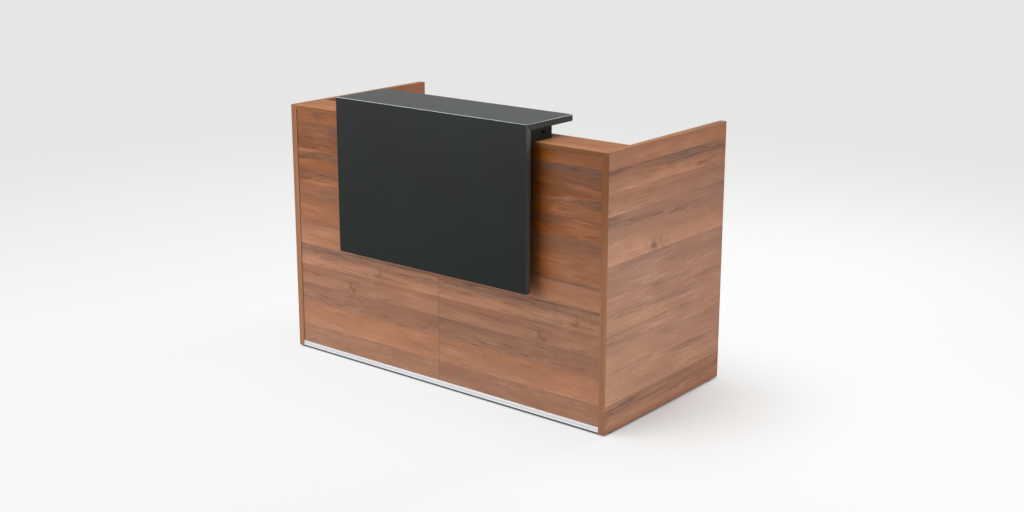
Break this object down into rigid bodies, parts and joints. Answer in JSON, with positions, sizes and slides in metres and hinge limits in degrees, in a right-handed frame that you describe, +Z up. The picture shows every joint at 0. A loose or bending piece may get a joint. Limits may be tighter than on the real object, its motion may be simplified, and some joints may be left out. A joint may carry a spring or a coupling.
{
  "type": "reception desk",
  "caption": "Free-standing reception desk: planked wood wall between tall side panels, dark counter shelf with a hanging front panel, and a staff worktop behind.",
  "frame": {"origin": "on the floor, under the centre of the whole desk's box", "axes": "+X to the visitor's right along the front wall, +Y towards the staff side, +Z up"},
  "size_m": [1.6, 0.844, 1.12],
  "materials": {
    "walnut": "walnut-look planked melamine on chipboard, satin",
    "walnut_band": "smooth brown edge band, satin",
    "anthracite": "anthracite melamine on chipboard, fine matt grain",
    "aluminium": "natural anodised, finely brushed",
    "steel": "zinc-plated steel",
    "black_plastic": "moulded black plastic, fine texture"
  },
  "bodies": {
    "desk": {"side_panel_left": "walnut", "side_panel_right": "walnut", "side_edge_band_left": "walnut_band", "side_edge_band_right": "walnut_band", "wall_cap": "walnut", "wall_cap_front_band": "walnut_band", "wall_cap_rear_band": "walnut_band", "upper_front_panel_left": "walnut", "upper_front_panel_right": "walnut", "lower_front_panel_left": "walnut", "lower_front_panel_right": "walnut", "centre_upright": "walnut", "inner_panel_lower": "walnut", "inner_panel_upper": "walnut", "worktop": "walnut", "worktop_rear_band": "walnut_band", "worktop_cleat_left": "steel", "worktop_cleat_right": "steel", "worktop_stiffener": "steel", "plinth_profile": "aluminium", "plinth_clip_left": "steel", "plinth_clip_right": "steel", "decor_panel": "anthracite", "counter_shelf": "anthracite", "counter_frame_front_rail": "anthracite", "counter_frame_rear_rail": "anthracite", "counter_frame_end_left": "anthracite", "counter_frame_end_right": "anthracite", "counter_frame_middle": "anthracite", "decor_standoff_low_left": "aluminium", "decor_standoff_low_right": "aluminium", "decor_standoff_high_left": "aluminium", "decor_standoff_high_right": "aluminium", "decor_bolt_low_left": "steel", "decor_bolt_low_right": "steel", "decor_bolt_high_left": "steel", "decor_bolt_high_right": "steel", "shelf_brace_left": "steel", "shelf_brace_right": "steel", "knee_bracket_left": "steel", "knee_bracket_right": "steel", "grommet_ring_left": "black_plastic", "grommet_ring_right": "black_plastic", "leveller_sleeve_front_left": "steel", "leveller_sleeve_front_right": "steel", "leveller_sleeve_rear_left": "steel", "leveller_sleeve_rear_right": "steel", "leveller_sleeve_centre": "steel"},
    "pad_front_left": {"leveller_pad_front_left": "black_plastic"},
    "pad_front_right": {"leveller_pad_front_right": "black_plastic"},
    "pad_rear_left": {"leveller_pad_rear_left": "black_plastic"},
    "pad_rear_right": {"leveller_pad_rear_right": "black_plastic"},
    "pad_centre": {"leveller_pad_centre": "black_plastic"},
    "stud_front_left": {"leveller_stud_front_left": "steel"},
    "stud_front_right": {"leveller_stud_front_right": "steel"},
    "stud_rear_left": {"leveller_stud_rear_left": "steel"},
    "stud_rear_right": {"leveller_stud_rear_right": "steel"},
    "stud_centre": {"leveller_stud_centre": "steel"},
    "lid_left": {"grommet_lid_left": "black_plastic"},
    "lid_right": {"grommet_lid_right": "black_plastic"}
  },
  "joints": [
    {"name": "pad_slide_front_left", "type": "slide", "parent": "desk", "child": "pad_front_left", "axis": [0, 0, -1], "range_m": [0, 0.012]},
    {"name": "pad_slide_front_right", "type": "slide", "parent": "desk", "child": "pad_front_right", "axis": [0, 0, -1], "range_m": [0, 0.012]},
    {"name": "pad_slide_rear_left", "type": "slide", "parent": "desk", "child": "pad_rear_left", "axis": [0, 0, -1], "range_m": [0, 0.012]},
    {"name": "pad_slide_rear_right", "type": "slide", "parent": "desk", "child": "pad_rear_right", "axis": [0, 0, -1], "range_m": [0, 0.012]},
    {"name": "pad_slide_centre", "type": "slide", "parent": "desk", "child": "pad_centre", "axis": [0, 0, -1], "range_m": [0, 0.012]},
    {"name": "stud_turn_front_left", "type": "hinge", "parent": "pad_front_left", "child": "stud_front_left", "pos_m": [-0.786, -0.323, 0.005], "axis": [0, 0, -1], "range_deg": [0, 3456]},
    {"name": "stud_turn_front_right", "type": "hinge", "parent": "pad_front_right", "child": "stud_front_right", "pos_m": [0.786, -0.323, 0.005], "axis": [0, 0, -1], "range_deg": [0, 3456]},
    {"name": "stud_turn_rear_left", "type": "hinge", "parent": "pad_rear_left", "child": "stud_rear_left", "pos_m": [-0.786, 0.364, 0.005], "axis": [0, 0, -1], "range_deg": [0, 3456]},
    {"name": "stud_turn_rear_right", "type": "hinge", "parent": "pad_rear_right", "child": "stud_rear_right", "pos_m": [0.786, 0.364, 0.005], "axis": [0, 0, -1], "range_deg": [0, 3456]},
    {"name": "stud_turn_centre", "type": "hinge", "parent": "pad_centre", "child": "stud_centre", "pos_m": [0, -0.283, 0.005], "axis": [0, 0, -1], "range_deg": [0, 3456]},
    {"name": "lid_turn_left", "type": "hinge", "parent": "desk", "child": "lid_left", "pos_m": [-0.45, -0.117, 0.742], "axis": [0, 0, 1], "continuous": true},
    {"name": "lid_turn_right", "type": "hinge", "parent": "desk", "child": "lid_right", "pos_m": [0.45, -0.117, 0.742], "axis": [0, 0, 1], "continuous": true}
  ],
  "couplings": [
    {"joint": "stud_turn_front_left", "follows": "pad_slide_front_left", "rad_per_m": 5026.5},
    {"joint": "stud_turn_front_right", "follows": "pad_slide_front_right", "rad_per_m": 5026.5},
    {"joint": "stud_turn_rear_left", "follows": "pad_slide_rear_left", "rad_per_m": 5026.5},
    {"joint": "stud_turn_rear_right", "follows": "pad_slide_rear_right", "rad_per_m": 5026.5},
    {"joint": "stud_turn_centre", "follows": "pad_slide_centre", "rad_per_m": 5026.5}
  ]
}
